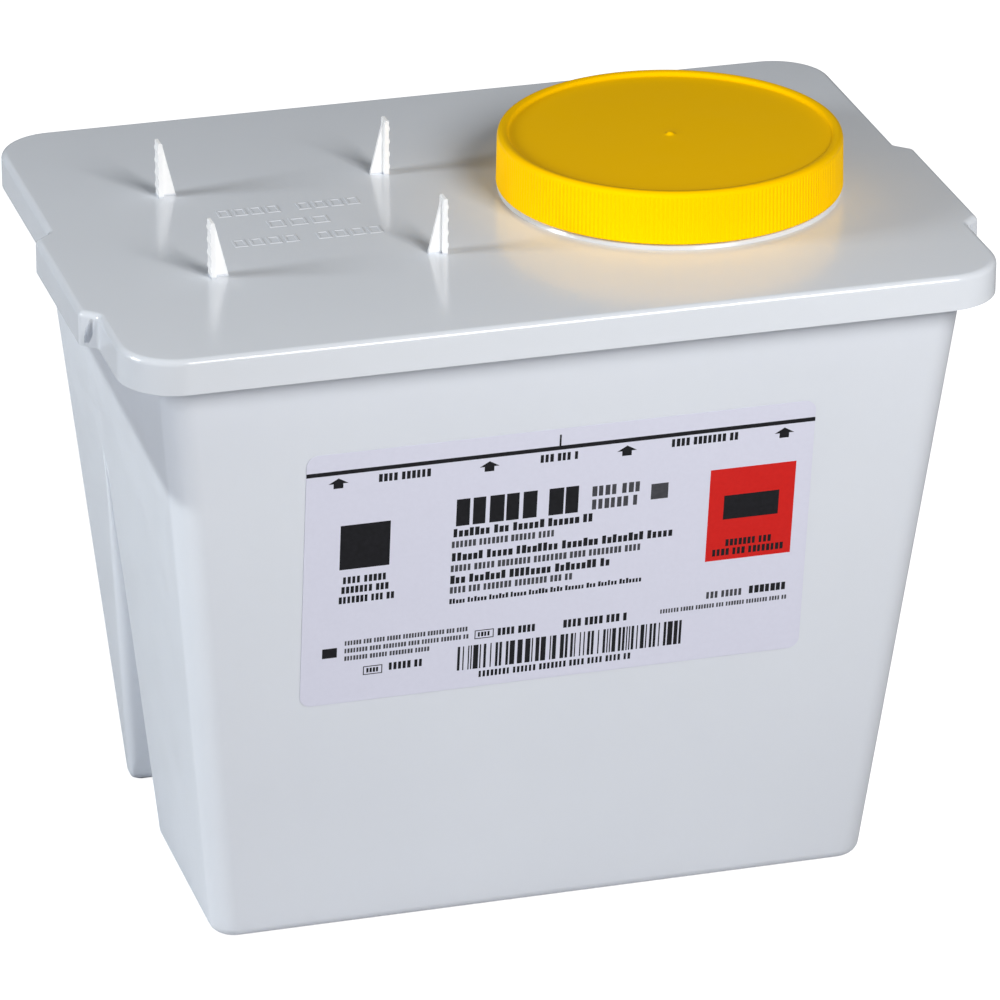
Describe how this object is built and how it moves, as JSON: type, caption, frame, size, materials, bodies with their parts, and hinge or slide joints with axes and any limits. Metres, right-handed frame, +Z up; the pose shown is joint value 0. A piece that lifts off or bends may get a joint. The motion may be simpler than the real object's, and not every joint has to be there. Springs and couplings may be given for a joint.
{
  "type": "sharps container",
  "caption": "Tapered plastic sharps disposal bin with a press-fit lid, a wide threaded mouth, a yellow screw cap, cap-parking fins and a front label.",
  "frame": {"origin": "centre of the bin's underside, on the face it rests on", "axes": "+X along the long side towards the screw-capped mouth, -Y is the labelled front, +Z up through the lid"},
  "size_m": [0.2798, 0.191, 0.2269],
  "materials": {
    "bin_plastic": "satin polypropylene",
    "lid_plastic": "satin polypropylene",
    "cap_plastic": "satin polypropylene",
    "liner_foam": "closed-cell foam",
    "gasket_rubber": "soft",
    "pad_fibre": "non-woven",
    "label_paper": "satin"
  },
  "bodies": {
    "bin": {"bin": "bin_plastic", "front_label": "label_paper", "absorbent_pad": "pad_fibre"},
    "lid": {"lid": "lid_plastic", "lid_gasket": "gasket_rubber"},
    "liner": {"cap_liner": "liner_foam"},
    "cap": {"screw_cap": "cap_plastic"}
  },
  "joints": [
    {"name": "lid_lift", "type": "slide", "parent": "bin", "child": "lid", "axis": [0, 0, 1], "range_m": [0, 0.06]},
    {"name": "cap_rise", "type": "slide", "parent": "lid", "child": "liner", "axis": [0, 0, 1], "range_m": [0, 0.0171]},
    {"name": "cap_turn", "type": "hinge", "parent": "liner", "child": "cap", "pos_m": [0.057, -0.0013, 0.218], "axis": [0, 0, 1], "range_deg": [0, 1224]}
  ],
  "couplings": [
    {"joint": "cap_rise", "follows": "cap_turn", "m_per_rad": 0.00079577}
  ]
}
